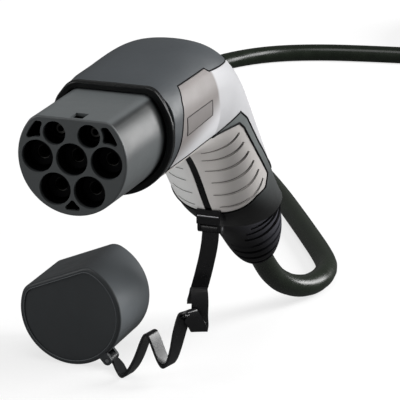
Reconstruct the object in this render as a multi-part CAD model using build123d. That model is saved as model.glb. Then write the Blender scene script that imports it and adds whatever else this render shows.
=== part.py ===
from build123d import *
import os
from math import atan2, copysign, cos, degrees, hypot, pi, radians, sin, tan

# Vehicle-side charging connector with its tethered dust cap and its cable.
# Frame: the origin is the middle of the nose's front face, the nose points to -Y,
# +X is to the right of someone facing the nose, +Z is up. Millimetres.

os.makedirs("parts", exist_ok=True)

# ---------------------------------------------------------------- driving sizes
FLOOR_Z = -175.0            # what the cable and the cap lie on
FIT = 0.3                   # clearance between pieces that seat or turn in each other
SEAM = 0.4                  # visible seam between two shells

# Nose
NOSE_R = 26.85              # round part of the D-shaped nose
NOSE_FLAT = 19.3            # height of the flat above the axis
NOSE_CORNER = 7.0
NOSE_DRAFT = 0.4            # growth of the outline from the face to the flange
NOSE_EDGE = 0.8             # rounded front edge
PIN_PITCH = 17.0            # between neighbouring power contacts
SIGNAL_RISE = 11.74         # height of the two signal contacts above the middle one
POWER_WELL_R = 7.8
SIGNAL_WELL_R = 5.6
WELL_DEPTH = 40.0
WEB = 1.3                   # thinnest wall between two wells
CORE_WALL = 2.5             # outer wall beside the cored-out corners
CORE_DEPTH = 30.0
CORE_ROUND = 1.2
CARRIER_REAR = 60.0         # rear face of the moulded carrier
FLANGE_T = 3.6
LATCH_W = 6.4               # notch that the inlet's locking bolt enters
LATCH_L = 8.0
LATCH_DEPTH = 3.0
LATCH_Y = 2.0
LATCH_X = 1.5

# Contacts
TIP_Y = 8.0                 # how far the sockets stand back from the face
POWER_BORE_R = 3.0
POWER_SOCKET_R = 4.6
POWER_BORE_DEPTH = 26.0
SIGNAL_BORE_R = 1.5
SIGNAL_SOCKET_R = 2.6
SIGNAL_BORE_DEPTH = 20.0
COLLAR_T = 3.0
COLLAR_STEP = 1.4
CRIMP_LENGTH = 17.0
RETAINER_T = 4.0

# Bezel and seal round the nose
BEZEL_FRONT = 46.8
BEZEL_R = 31.2
BEZEL_FLAT = 23.5
BEZEL_CORNER = 8.0
BEZEL_WIDTH = 3.0
BEZEL_EDGE = 1.2
SEAL_T = 2.0
NECK_STEP = 0.8             # the carrier is smaller behind the bezel, to leave room for the seal
NECK_CORNER = 10.0
SEAL_Y = 53.2

# Housing shell, and the soft pads on it
HOOD_Y = 50.2               # front edge of the hood, rear face of the bezel
SHELL_WALL = 2.2
PAD_WALL = 2.0
BODY_POINTS = 24            # points on each section's outline
# Sections from the hood to the collar: back point (y, z), front point (y, z),
# half width, how square the back half is, how square the front half is,
# and where the widest place lies between the front point (0) and the back point (1).
BODY = [
    ((50.2, 23.5), (50.2, -31.2), 31.2, 3.0, 2.0, 0.57),
    ((72.0, 26.6), (72.0, -31.2), 31.5, 2.9, 2.0, 0.54),
    ((98.0, 28.7), (93.0, -31.2), 31.5, 2.7, 2.05, 0.52),
    ((124.0, 27.2), (114.0, -32.0), 31.0, 2.6, 2.1, 0.52),
    ((146.0, 19.0), (131.0, -34.5), 30.0, 2.5, 2.2, 0.52),
    ((166.0, 3.0), (144.0, -38.5), 29.0, 2.5, 2.3, 0.50),
    ((187.0, -20.0), (155.0, -47.5), 28.0, 2.5, 2.3, 0.48),
    ((208.0, -42.0), (167.0, -62.0), 27.0, 2.5, 2.3, 0.47),
    ((230.0, -65.0), (181.0, -80.0), 25.5, 2.5, 2.3, 0.47),
    ((249.0, -83.0), (201.0, -95.0), 24.0, 2.4, 2.2, 0.50),
]
BEYOND = ((266.0, -103.0), (224.0, -113.0), 20.5, 2.3, 2.1, 0.50)      # leads the surfaces on past the collar

# Lines on the side view, as (y, z): where the shells meet
HOOD_LINE = [(56.0, -60.0), (56.0, -14.0), (59.6, 2.0), (62.5, 14.0), (67.0, 19.8), (101.0, 20.0),
             (104.5, 17.8), (128.0, 15.6), (200.0, 9.0)]
PANEL_LINE = [(40.0, -19.0), (112.0, -18.0), (147.0, -13.4), (158.6, -19.7), (181.1, -39.1),
              (211.5, -62.0), (245.0, -36.0)]
PAD_LINE = [(40.0, -19.4), (112.0, -18.4), (147.5, -20.0), (154.8, -24.2), (176.0, -42.4),
            (199.0, -61.5), (196.6, -69.0), (189.0, -71.5), (181.0, -84.0)]
STRIP_W = 4.0               # front seam strip between the two pads
RIB_COUNT = 6
RIB_FIRST = ((150.5, -26.0), (141.0, -36.5))    # back end and front end of the top groove
RIB_LAST = ((191.5, -62.3), (178.0, -77.0))
RIB_W = 2.4
RIB_DEPTH = 1.5

# Screws that join the two frame halves, as (y, z)
SCREW_PLACES = [(130.0, -26.5), (164.0, -46.5), (184.0, -66.0)]
SCREW_R = 1.3
SCREW_HEAD_R = 2.5
SCREW_HEAD_T = 2.0
SCREW_HALF = 9.0
BOSS_R = 3.7

# Bend relief, on the axis that the cable leaves by
CABLE_D = 13.0
EXIT = (0.0, 262.5, -129.7)
EXIT_SLOPE = 46.4           # degrees below the horizontal
RELIEF = [(0.0, 0.0, 7.5), (8.0, 1.0, 12.6), (20.0, 3.6, 16.6), (32.0, 4.8, 18.4)]
RELIEF_STEP = 1.4           # step in from the frame's end
PLUG_LENGTH = 7.0           # part of the relief that fits inside the frame's end
PLUG_ROOT = 4.0             # how far it starts below the frame's end
PLUG_FIT = 0.6
PLUG_DIRECTION = (0.0, -0.763, 0.646)
SPIGOT_R = 13.5
SPIGOT_LENGTH = 40.0
RELIEF_SLOTS = [9.0, 16.0, 23.0, 30.0]
SLOT_W = 2.4
SLOT_DEPTH = 2.6
SHEATH_LENGTH = 96.0        # sheathed cable end inside the handle
CLAMP_AT = 84.0
CLAMP_SIZE = (32.0, 17.0, 10.0)
CLAMP_SCREW_X = 11.5
CLAMP_SCREW_R = 1.4

# Conductors
POWER_WIRE_R = 1.6
SIGNAL_WIRE_R = 1.0
BUNDLE_R = 3.5
WIRE_BEND = 14.0
BUNDLE_TOP = (152.0, -19.0)         # (y, z) where the bundle has closed up

# Dust cap
CAP_CENTRE = (-77.3, 172.3, -145.35)
CAP_ROLL = 23.0
CAP_WALL = 2.5
CAP_FACE_T = 3.0
CAP_LENGTH = 43.0
CAP_GAP = 0.3               # between the nose and the cap's inside
CAP_RIM = 2.4
CAP_RIM_H = 0.7
CAP_EDGE = 1.6
LUG_ANGLE = -49.0           # where the lug stands on the skirt
LUG_T = 2.0
LUG_Y = 5.7                 # middle of the lug behind the cap's face

# Tether: flat moulded strap, 1.6 mm thick, with set waves
STRAP_T = 1.6
STRAP_W = 9.0
STRAP_END_W = 6.2
TAPER_FROM = 0.86            # share of the strap's length where it begins to narrow
TAPER_TO = 0.94
EYE_R = 2.6
PIN_R = 1.05
CLIP_PIN = (0.0, 183.5, -90.5)
CLIP_EAR_T = 1.8
CLIP_DEPTH = 9.0
# Points of the strap's middle line, with the heading of its width in degrees from +X
STRAP = [
    (-0.8, 184.0, -100.0, 10), (-3.5, 184.0, -113.5, 18), (-6.5, 183.0, -126.0, 20),
    (-7.5, 180.2, -132.3, 20), (-5.5, 176.8, -129.0, 20), (-2.8, 173.2, -122.0, 20),
    (-1.0, 170.0, -127.0, 22), (-0.6, 168.6, -137.0, 25), (0.2, 166.3, -141.3, 28),
    (-2.0, 163.8, -136.5, 35), (-4.8, 161.8, -132.4, 45), (-8.0, 160.8, -138.5, 60),
    (-11.2, 160.5, -152.0, 72), (-16.2, 160.8, -162.3, 78), (-21.0, 161.2, -155.0, 78),
    (-26.0, 161.6, -145.6, 78), (-31.0, 162.2, -155.5, 78), (-37.0, 163.3, -168.0, 76),
    (-43.0, 167.4, -173.9, 80), (-48.2, 173.0, -173.4, 86), (-51.9, 177.2, -171.9, 90),
]

# Cable: lies on the floor, then wound into a coil for storage
CABLE_LENGTH = 3000.0
FIRST_RUN = 24.0            # straight out of the exit
ROUTE = [                   # points of the free cable after that run, None at floor level
    (4.5, 297.0, -160.5), (11.0, 315.5, -167.3), (14.5, 334.5, None), (12.0, 356.0, None),
    (1.0, 377.5, None), (-14.5, 404.0, None), (-36.0, 440.0, None), (-64.0, 486.0, None),
    (-99.0, 538.0, None), (-137.0, 592.0, None), (-175.0, 645.0, None), (-208.0, 695.0, None),
    (-221.0, 740.0, None), (-212.0, 783.0, None), (-187.0, 819.0, None), (-150.0, 839.5, None),
    (-103.0, 850.0, None), (-50.0, 858.0, None), (-6.0, 861.0, None),
]
COIL_D = 143.0              # middle of its turns
COIL_COLUMNS = 2
COIL_LAYERS = 3
TIE_W = 16.0
TIE_T = 1.2
TIE_ANGLE = 60.0
TAIL_R = 52.0               # bend of the cable's last stretch, inside the coil
TAIL_FROM = 75.0            # degrees round that bend where it is clear of the turns
TAIL_TO = 168.0
TAIL_ANGLE = 120.0          # where on the coil the bend begins
CORE_LENGTH = 20.0
FERRULE_LENGTH = 8.0
FERRULE_STEP = 0.5          # from the ferrule's collar down to its barrel
SPLAY = 0.12                # how far the cores spread sideways for each unit of length


# ---------------------------------------------------------------- helpers
def across(y):
    """Drawing plane across the nose's axis: local x is +X, local y is +Z."""
    return Plane.XZ.offset(-y)


def prism(sketch, front, rear):
    """Solid of a sketch between two places along the nose's axis."""
    return extrude(across(rear) * sketch, amount=rear - front)


def d_outline(radius, flat, corner=0.0):
    """Circle cut off by a flat at the top, with rounded corners."""
    outline = Circle(radius) & Pos(0, flat - radius) * Rectangle(2 * radius, 2 * radius)
    if corner:
        outline = fillet(outline.vertices().sort_by(Axis.Y)[-2:], corner)
    return outline


def turned(points, base, direction):
    """Solid of revolution. points are (distance along the axis, radius)."""
    profile = make_face(Polyline(*[(radius, along) for along, radius in points], close=True))
    solid = revolve(Plane.XZ * profile, Axis.Z)
    side = Vector(1, 0, 0) if abs(direction[0]) < 0.9 else Vector(0, 1, 0)
    return Plane(origin=base, x_dir=side, z_dir=direction) * solid


def rod(base, direction, radius, length):
    return turned([(0, 0), (0, radius), (length, radius), (length, 0)], base, direction)


def side_prism(points, grow=0.0):
    """Solid of a side-view outline, through the whole width."""
    sketch = make_face(Polyline(*points, close=True))
    if grow:
        sketch = offset(sketch, grow, kind=Kind.INTERSECTION)
    return extrude(Plane.YZ * sketch, amount=60, both=True)


def section(back, front, half_width, back_power, front_power, widest, inset):
    """One closed outline of the body: two half superellipses on the line from front to back."""
    length = hypot(back[0] - front[0], back[1] - front[1])
    up = ((back[0] - front[0]) / length, (back[1] - front[1]) / length)
    middle = (front[0] + widest * length * up[0], front[1] + widest * length * up[1])
    points = []
    for step in range(BODY_POINTS):
        angle = 2 * pi * (step + 0.5) / BODY_POINTS
        power = back_power if sin(angle) > 0 else front_power
        reach = (1 - widest) * length if sin(angle) > 0 else widest * length
        x = (half_width - inset) * copysign(abs(cos(angle)) ** (2 / power), cos(angle))
        rise = (reach - inset) * copysign(abs(sin(angle)) ** (2 / power), sin(angle))
        points.append((x, middle[0] + rise * up[0], middle[1] + rise * up[1]))
    return Wire([Edge.make_spline([Vector(*p) for p in points], periodic=True)])


def end_plane():
    """Plane of the collar's end, looking out of the handle."""
    (back_y, back_z), (front_y, front_z) = BODY[-1][:2]
    middle = (0, (back_y + front_y) / 2, (back_z + front_z) / 2)
    return Plane(origin=middle, x_dir=(1, 0, 0), z_dir=(0, back_z - front_z, front_y - back_y))


def body(inset, narrow=0.0):
    """The hood and handle as one lofted solid, its surface inset by a wall."""
    wires = []
    for back, front, half_width, back_power, front_power, widest in BODY + [BEYOND]:
        wires.append(section(back, front, half_width - narrow, back_power, front_power, widest, inset))
    return Solid.make_loft(wires) - end_plane() * Pos(0, 0, 100) * Box(200, 200, 200)


def exit_point(back_from_exit, lift=0.0):
    """Point on the bend relief's axis, back from the cable's exit and lifted off the axis."""
    slope = radians(EXIT_SLOPE)
    y = EXIT[1] - back_from_exit * cos(slope) + lift * sin(slope)
    z = EXIT[2] + back_from_exit * sin(slope) + lift * cos(slope)
    return (0.0, y, z)


EXIT_DIRECTION = (0.0, cos(radians(EXIT_SLOPE)), -sin(radians(EXIT_SLOPE)))


def exit_plane(back_from_exit, lift=0.0):
    return Plane(origin=exit_point(back_from_exit, lift), x_dir=(1, 0, 0), z_dir=EXIT_DIRECTION)


def round_outline(back_from_exit, lift, radius):
    """Circle across the exit's axis, drawn from the same place and the same way round as a section."""
    plane = exit_plane(back_from_exit, lift)
    points = []
    for step in range(BODY_POINTS):
        angle = 2 * pi * (step + 0.5) / BODY_POINTS
        points.append(plane.from_local_coords(Vector(radius * cos(angle), -radius * sin(angle), 0)))
    return Wire([Edge.make_spline(points, periodic=True)])


# ---------------------------------------------------------------- nose
HALF_PITCH = PIN_PITCH / 2
ROW_DROP = PIN_PITCH * sin(radians(60))
POWER_PLACES = {
    "contact_pe": (0.0, 0.0),
    "contact_n": (PIN_PITCH, 0.0),
    "contact_l1": (-PIN_PITCH, 0.0),
    "contact_l2": (-HALF_PITCH, -ROW_DROP),
    "contact_l3": (HALF_PITCH, -ROW_DROP),
}
SIGNAL_PLACES = {
    "contact_cp": (-HALF_PITCH, SIGNAL_RISE),
    "contact_pp": (HALF_PITCH, SIGNAL_RISE),
}
CAVITY_INSET = SHELL_WALL + FIT + 0.2
RETAINER_END = CARRIER_REAR + COLLAR_T + RETAINER_T
CRIMP_END = RETAINER_END + CRIMP_LENGTH
REAR_R = NOSE_R + NOSE_DRAFT
REAR_FLAT = NOSE_FLAT + NOSE_DRAFT


def holes(power_radius, signal_radius):
    """Circles at the seven contact places, as one sketch."""
    sketch = Sketch()
    for x, z in POWER_PLACES.values():
        sketch += Pos(x, z) * Circle(power_radius)
    for x, z in SIGNAL_PLACES.values():
        sketch += Pos(x, z) * Circle(signal_radius)
    return sketch


def neck_outline(gap):
    """Outline of the carrier behind the bezel, grown by a gap."""
    return d_outline(REAR_R - NECK_STEP + gap, REAR_FLAT - NECK_STEP + gap, NECK_CORNER)


def make_nose(cavity):
    front = across(0) * d_outline(NOSE_R, NOSE_FLAT, NOSE_CORNER)
    rear = across(SEAL_Y) * d_outline(REAR_R, REAR_FLAT, NOSE_CORNER)
    nose = loft([front.face(), rear.face()])
    face_edges = nose.faces().sort_by(Axis.Y)[0].edges()
    nose = fillet(face_edges, NOSE_EDGE)
    nose += prism(neck_outline(0), SEAL_Y, CARRIER_REAR)
    flange_front = SEAL_Y + SEAL_T
    nose += prism(Circle(BEZEL_R + 4), flange_front, flange_front + FLANGE_T) & cavity
    nose -= prism(holes(POWER_WELL_R, SIGNAL_WELL_R), 0, WELL_DEPTH)
    seat = holes(POWER_SOCKET_R + FIT, SIGNAL_SOCKET_R + FIT)
    nose -= prism(seat, WELL_DEPTH, CARRIER_REAR)
    left_over = d_outline(NOSE_R - CORE_WALL, NOSE_FLAT - CORE_WALL) - holes(POWER_WELL_R + WEB, SIGNAL_WELL_R + WEB)
    for pocket in left_over.faces():
        middle = pocket.center()
        upper_corner = abs(middle.X) > HALF_PITCH and middle.Y > SIGNAL_RISE / 2
        foot = abs(middle.X) < 1 and middle.Y < -ROW_DROP
        if upper_corner or foot:
            rounded = pocket.fillet_2d(CORE_ROUND, pocket.vertices())
            nose -= prism(rounded, 0, CORE_DEPTH)
    notch = Box(LATCH_W, LATCH_L, 2 * LATCH_DEPTH)
    nose -= Pos(LATCH_X, LATCH_Y + LATCH_L / 2, NOSE_FLAT) * notch
    return nose


def make_contact(place, socket_r, bore_r, bore_depth):
    collar_r = socket_r + COLLAR_STEP
    shank_r = socket_r - FIT * 4
    end = CRIMP_END
    points = [(bore_depth, 0), (bore_depth, bore_r), (0, bore_r), (0, socket_r - FIT), (FIT, socket_r),
              (CARRIER_REAR - TIP_Y, socket_r), (CARRIER_REAR - TIP_Y, collar_r),
              (CARRIER_REAR - TIP_Y + COLLAR_T, collar_r), (CARRIER_REAR - TIP_Y + COLLAR_T, shank_r),
              (end - TIP_Y, shank_r), (end - TIP_Y, 0)]
    return turned(points, (place[0], TIP_Y, place[1]), (0, 1, 0))


def make_retainer(cavity):
    plate = prism(Circle(BEZEL_R + 4), CARRIER_REAR + COLLAR_T, RETAINER_END) & cavity
    shank_holes = holes(POWER_SOCKET_R - FIT * 3, SIGNAL_SOCKET_R - FIT * 3)
    return plate - prism(shank_holes, CARRIER_REAR, CARRIER_REAR + 4 * RETAINER_T)


def make_bezel(cavity):
    ring = prism(d_outline(BEZEL_R, BEZEL_FLAT, BEZEL_CORNER), BEZEL_FRONT, HOOD_Y)
    ring = fillet(ring.faces().sort_by(Axis.Y)[0].edges(), BEZEL_EDGE)
    inside = d_outline(BEZEL_R - BEZEL_WIDTH, BEZEL_FLAT - BEZEL_WIDTH, BEZEL_CORNER - BEZEL_WIDTH / 2)
    hole = prism(inside, BEZEL_FRONT - 1, SEAL_Y + 1)
    spigot = (prism(Circle(BEZEL_R + 4), HOOD_Y, SEAL_Y) & cavity) - hole
    return (ring - hole) + spigot


def make_nose_seal(cavity):
    """Flat gasket between the bezel's spigot and the carrier's flange."""
    plate = prism(Circle(BEZEL_R + 4), SEAL_Y, SEAL_Y + SEAL_T) & cavity
    return plate - prism(neck_outline(FIT), SEAL_Y - 1, SEAL_Y + SEAL_T + 1)


# ---------------------------------------------------------------- housing
HOOD_OUTLINE = HOOD_LINE + [(320.0, 9.0), (320.0, 80.0), (40.0, 80.0), (40.0, -60.0)]
PANEL_OUTLINE = PANEL_LINE + [(320.0, -36.0), (320.0, 80.0), (40.0, 80.0)]
PAD_OUTLINE = PAD_LINE + [(160.0, -110.0), (40.0, -110.0)]


def make_shells():
    """The hood, two housing halves, two frame halves, two grip pads and the front strip."""
    outer = body(0)
    middle = body(SHELL_WALL)
    inner = body(SHELL_WALL + PAD_WALL)
    hood_zone = side_prism(HOOD_OUTLINE)
    hood_zone_wide = side_prism(HOOD_OUTLINE, SEAM)
    above_panel = side_prism(PANEL_OUTLINE)
    above_panel_wide = side_prism(PANEL_OUTLINE, SEAM)
    pad_zone = side_prism(PAD_OUTLINE)
    pad_zone_wide = side_prism(PAD_OUTLINE, SEAM)

    skin = outer - middle
    hood = skin & hood_zone
    housing = (skin & above_panel) - hood_zone_wide
    lower = (outer - inner) - above_panel_wide - hood_zone_wide
    lower -= prism(Circle(BEZEL_R + 4), 0, RETAINER_END + FIT) & middle
    frame = lower - ((outer - middle) & pad_zone_wide)
    pads = (skin & pad_zone) - hood_zone_wide
    strip_slot = Box(STRIP_W, 900, 900)
    strip = pads & Box(STRIP_W - SEAM, 900, 900)
    pads = pads - strip_slot - make_grooves(outer)

    boss = {"left": Part(), "right": Part()}
    for y, z in SCREW_PLACES:
        for side, sign in (("left", -1), ("right", 1)):
            boss[side] += rod((sign * SEAM / 2, y, z), (sign, 0, 0), BOSS_R, 40) & middle

    left_half = Pos(-100, 0, 0) * Box(200, 900, 900)
    right_half = Pos(100, 0, 0) * Box(200, 900, 900)
    frame_left = (frame & left_half) + boss["left"]
    frame_right = (frame & right_half) + boss["right"]
    for y, z in SCREW_PLACES:
        frame_left -= rod((0, y, z), (-1, 0, 0), SCREW_R + FIT, SCREW_HALF + 0.01)
        frame_left -= rod((-SCREW_HALF, y, z), (-1, 0, 0), SCREW_HEAD_R + FIT, 40)
        frame_right -= rod((0, y, z), (1, 0, 0), SCREW_R + 0.05, SCREW_HALF + 1)
    return {
        "hood": hood,
        "housing_left": housing & left_half,
        "housing_right": housing & right_half,
        "frame_left": frame_left,
        "frame_right": frame_right,
        "grip_left": pads & left_half,
        "grip_right": pads & right_half,
        "front_strip": strip,
    }


def make_grooves(outer):
    """Finger grooves: deepest at the sides and fading out towards the front of the handle."""
    narrow = body(0, narrow=RIB_DEPTH)
    bands = Part()
    for step in range(RIB_COUNT):
        share = step / (RIB_COUNT - 1)
        ends = []
        for first, last in zip(RIB_FIRST, RIB_LAST):
            ends.append((first[0] + share * (last[0] - first[0]), first[1] + share * (last[1] - first[1])))
        middle = ((ends[0][0] + ends[1][0]) / 2 + 1.2, (ends[0][1] + ends[1][1]) / 2 - 1.2)
        arc = ThreePointArc(ends[0], middle, ends[1])
        bands += extrude(Plane.YZ * trace(arc, RIB_W), amount=60, both=True)
    return bands & (outer - narrow)


def make_housing_screws():
    screws = Part()
    for y, z in SCREW_PLACES:
        screws += rod((-SCREW_HALF, y, z), (1, 0, 0), SCREW_R, 2 * SCREW_HALF)
        screws += rod((-SCREW_HALF, y, z), (-1, 0, 0), SCREW_HEAD_R, SCREW_HEAD_T)
    return screws


# ---------------------------------------------------------------- bend relief and cable entry
def make_bend_relief():
    def tapered(inset):
        top = section(*BODY[-1], RELIEF_STEP + inset)
        wires = [top.moved(Location(Vector(*EXIT_DIRECTION) * FIT))]
        for back_from_exit, lift, radius in reversed(RELIEF):
            wires.append(round_outline(back_from_exit, lift, radius - inset))
        return Solid.make_loft(wires)

    relief = tapered(0)
    core = tapered(SLOT_DEPTH)
    for along in RELIEF_SLOTS:
        slab = exit_plane(along) * Pos(6, 0, 0) * Box(60, 60, SLOT_W)
        relief -= (slab & Pos(30, 0, 0) * Box(72, 900, 900)) - core
    spigot_from = exit_point(RELIEF[-1][0] - 4)
    backwards = tuple(-value for value in EXIT_DIRECTION)
    relief += rod(spigot_from, backwards, SPIGOT_R, SPIGOT_LENGTH + 4)
    plug = Face(section(*BODY[-1], SHELL_WALL + PAD_WALL + PLUG_FIT))
    plug = plug.moved(Location(Vector(*PLUG_DIRECTION) * -PLUG_ROOT))
    relief += extrude(plug, amount=PLUG_ROOT + PLUG_LENGTH, dir=PLUG_DIRECTION)
    return relief - rod(exit_point(-1), backwards, CABLE_D / 2 + FIT, 120)


def make_relief_seal():
    base = exit_point(RELIEF[-1][0] + SPIGOT_LENGTH)
    return turned([(0, CABLE_D / 2 + FIT), (0, SPIGOT_R - 1), (-3, SPIGOT_R - 1), (-3, CABLE_D / 2 + FIT)],
                  base, EXIT_DIRECTION)


def make_clamps():
    """Two saddles that grip the sheathed cable end, and the two screws that draw them together."""
    width, height, along = CLAMP_SIZE
    plane = exit_plane(CLAMP_AT)
    block = plane * Box(width, height, along)
    block = fillet(block.edges().filter_by(GeomType.LINE).filter_by(lambda e: abs(e.length - along) < 0.01), 2.0)
    block -= rod(exit_point(CLAMP_AT - along), tuple(-v for v in EXIT_DIRECTION), CABLE_D / 2, 2 * along)
    split = plane * Box(width + 2, 1.2, along + 2)
    block -= split
    upper_zone = plane * Pos(0, -50, 0) * Box(100, 100, 100)
    front = block & upper_zone
    back = block - upper_zone
    screws = Part()
    for sign in (-1, 1):
        axis_at = plane * Pos(sign * CLAMP_SCREW_X, 0, 0)
        hole = axis_at * Rot(90, 0, 0) * Cylinder(CLAMP_SCREW_R + FIT, height + 4)
        front -= hole
        back -= hole
        screw = Cylinder(CLAMP_SCREW_R, height) + Pos(0, 0, height / 2 + 1) * Cylinder(2.7, 2.0)
        screws += axis_at * Rot(90, 0, 0) * screw
    return front, back, screws


def bundle_point(base, angle, radius):
    """Point of the wire bundle: base is (y, z), the offset lies across the handle's axis."""
    slope = radians(EXIT_SLOPE)
    lift = radius * sin(radians(angle))
    return (radius * cos(radians(angle)), base[0] + lift * sin(slope), base[1] + lift * cos(slope))


def make_wire(place, angle, ring, wire_r):
    end = exit_point(SHEATH_LENGTH + FIT)
    path = FilletPolyline(
        (place[0], CRIMP_END + FIT, place[1]),
        (0.78 * place[0], CRIMP_END + 26, 0.72 * place[1] - 2),
        bundle_point(BUNDLE_TOP, angle, ring),
        bundle_point((end[1], end[2]), angle, ring),
        radius=WIRE_BEND,
    )
    start = Plane(origin=path @ 0, z_dir=path % 0)
    return sweep(start * Circle(wire_r), path=path)


BUNDLE = {
    "contact_pe": (0.0, 0.0),
    "contact_n": (0.0, BUNDLE_R),
    "contact_l1": (180.0, BUNDLE_R),
    "contact_l2": (-119.0, BUNDLE_R),
    "contact_l3": (-61.0, BUNDLE_R),
    "contact_cp": (118.0, BUNDLE_R),
}


def make_resistor():
    """Coding resistor between the proximity contact's crimp and the earth contact's crimp."""
    y = CRIMP_END - 6
    top = (HALF_PITCH, SIGNAL_RISE - SIGNAL_SOCKET_R + 0.9)
    foot = (POWER_SOCKET_R - 1.1, 1.0)
    slope = degrees(atan2(top[1] - foot[1], top[0] - foot[0]))
    length = hypot(top[0] - foot[0], top[1] - foot[1])
    direction = (cos(radians(slope)), 0, sin(radians(slope)))
    lead = rod((foot[0], y, foot[1]), direction, 0.4, length)
    barrel = rod((foot[0] + length * 0.2 * direction[0], y, foot[1] + length * 0.2 * direction[2]), direction,
                 1.2, length * 0.6)
    return lead + barrel


# ---------------------------------------------------------------- tether and cap
CAP_R = NOSE_R + CAP_GAP + CAP_WALL
CAP_FLAT = NOSE_FLAT + CAP_GAP + CAP_WALL
LUG_REACH = CAP_R + EYE_R + 0.5
LUG_PIN = (CAP_CENTRE[0] + LUG_REACH * cos(radians(LUG_ANGLE)), CAP_CENTRE[1] + LUG_Y,
           CAP_CENTRE[2] + LUG_REACH * sin(radians(LUG_ANGLE)))


def cap_prism(sketch, front, rear):
    rolled = Pos(CAP_CENTRE[0], CAP_CENTRE[2]) * Rot(0, 0, CAP_ROLL) * sketch
    return prism(rolled, CAP_CENTRE[1] + front, CAP_CENTRE[1] + rear)


def make_cap():
    cap = cap_prism(d_outline(CAP_R, CAP_FLAT, NOSE_CORNER + CAP_WALL / 2), 0, CAP_LENGTH)
    cap = fillet(cap.faces().sort_by(Axis.Y)[0].edges(), CAP_EDGE)
    lug = Pos((CAP_R - CAP_WALL + LUG_REACH) / 2, 0) * Rectangle(LUG_REACH - CAP_R + CAP_WALL, 2 * EYE_R)
    lug += Pos(LUG_REACH, 0) * Circle(EYE_R)
    lug = Pos(CAP_CENTRE[0], CAP_CENTRE[2]) * Rot(0, 0, LUG_ANGLE) * lug
    half_gap = STRAP_END_W / 2 + 0.1 + FIT
    for near in (-half_gap - LUG_T, half_gap):
        cap += prism(lug, LUG_PIN[1] + near, LUG_PIN[1] + near + LUG_T)
    inside = d_outline(CAP_R - CAP_WALL, CAP_FLAT - CAP_WALL, NOSE_CORNER)
    cap -= cap_prism(inside, CAP_FACE_T, CAP_LENGTH + 1)
    panel = d_outline(CAP_R - CAP_RIM, CAP_FLAT - CAP_RIM, NOSE_CORNER)
    cap -= cap_prism(panel, -1, CAP_RIM_H)
    reach = 2 * (half_gap + LUG_T)
    cap -= rod((LUG_PIN[0], LUG_PIN[1] - reach, LUG_PIN[2]), (0, 1, 0), PIN_R + 0.05, 2 * reach)
    return cap


def make_cap_pin():
    half = STRAP_END_W / 2 + 0.1 + FIT + LUG_T
    return rod((LUG_PIN[0], LUG_PIN[1] - half, LUG_PIN[2]), (0, 1, 0), PIN_R, 2 * half)


def make_clip(outer):
    """Bracket under the frame's front edge, with two ears that hold the strap's pin."""
    x, y, z = CLIP_PIN
    inside = STRAP_W / 2 + FIT
    outside = inside + CLIP_EAR_T
    base_z = z + EYE_R + FIT
    block = Pos(0, y + 0.5, base_z + 4) * Box(2 * outside, CLIP_DEPTH, 8)
    ear_profile = Pos(y, z) * Circle(EYE_R) + Pos(y, z + 3) * Rectangle(2 * EYE_R, 6)
    ears = extrude(Plane.YZ.offset(-outside) * ear_profile, amount=CLIP_EAR_T)
    ears += extrude(Plane.YZ.offset(inside) * ear_profile, amount=CLIP_EAR_T)
    clip = block + ears - rod((-2 * outside, y, z), (1, 0, 0), PIN_R + 0.05, 4 * outside)
    return clip - outer


def make_clip_pin():
    half = STRAP_W / 2 + FIT + CLIP_EAR_T
    return rod((CLIP_PIN[0] - half, CLIP_PIN[1], CLIP_PIN[2]), (1, 0, 0), PIN_R, 2 * half)


def make_strap():
    """Wavy flat strap with an eye round the clip's pin and another round the cap's pin."""
    reach = EYE_R - 0.6
    lug = radians(20)
    start = (CLIP_PIN[0], CLIP_PIN[1], CLIP_PIN[2] - reach, 0)
    end = (LUG_PIN[0] + reach * cos(lug), LUG_PIN[1], LUG_PIN[2] - reach * sin(lug), 90)
    stations = [start] + STRAP + [end]
    middle = Spline(*[station[:3] for station in stations])
    count = 5 * len(stations)
    at_station = [middle.param_at_point(Vector(*station[:3])) for station in stations]
    corners = [[], [], [], []]
    for step in range(count + 1):
        place = step / count
        index = 0
        while index < len(stations) - 2 and place > at_station[index + 1]:
            index += 1
        share = (place - at_station[index]) / (at_station[index + 1] - at_station[index])
        heading = radians(stations[index][3] + share * (stations[index + 1][3] - stations[index][3]))
        point = middle @ place
        along = middle % place
        aside = Vector(cos(heading), sin(heading), 0)
        aside = (aside - along * aside.dot(along)).normalized()
        normal = along.cross(aside)
        tail = min(1.0, max(0.0, (place - TAPER_FROM) / (TAPER_TO - TAPER_FROM)))
        half = (STRAP_W + tail * (STRAP_END_W - STRAP_W)) / 2
        for corner, (a, n) in enumerate(((-1, -1), (1, -1), (1, 1), (-1, 1))):
            corners[corner].append(point + aside * (a * half) + normal * (n * STRAP_T / 2))
    rails = [Edge.make_spline(points) for points in corners]
    faces = [Face.make_surface_from_curves(rails[i], rails[(i + 1) % 4]) for i in range(4)]
    for end_of in (0, -1):
        faces.append(Face(Wire.make_polygon([points[end_of] for points in corners])))
    ribbon = Solid(Shell(faces))
    eye = rod((CLIP_PIN[0] - STRAP_W / 2, CLIP_PIN[1], CLIP_PIN[2]), (1, 0, 0), EYE_R, STRAP_W)
    foot = rod((LUG_PIN[0], LUG_PIN[1] - STRAP_END_W / 2 - 0.1, LUG_PIN[2]), (0, 1, 0), EYE_R, STRAP_END_W + 0.2)
    strap = Part() + ribbon + eye + foot
    strap -= rod((CLIP_PIN[0] - STRAP_W, CLIP_PIN[1], CLIP_PIN[2]), (1, 0, 0), PIN_R + FIT, 2 * STRAP_W)
    strap -= rod((LUG_PIN[0], LUG_PIN[1] - STRAP_W, LUG_PIN[2]), (0, 1, 0), PIN_R + FIT, 2 * STRAP_W)
    return strap


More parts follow.
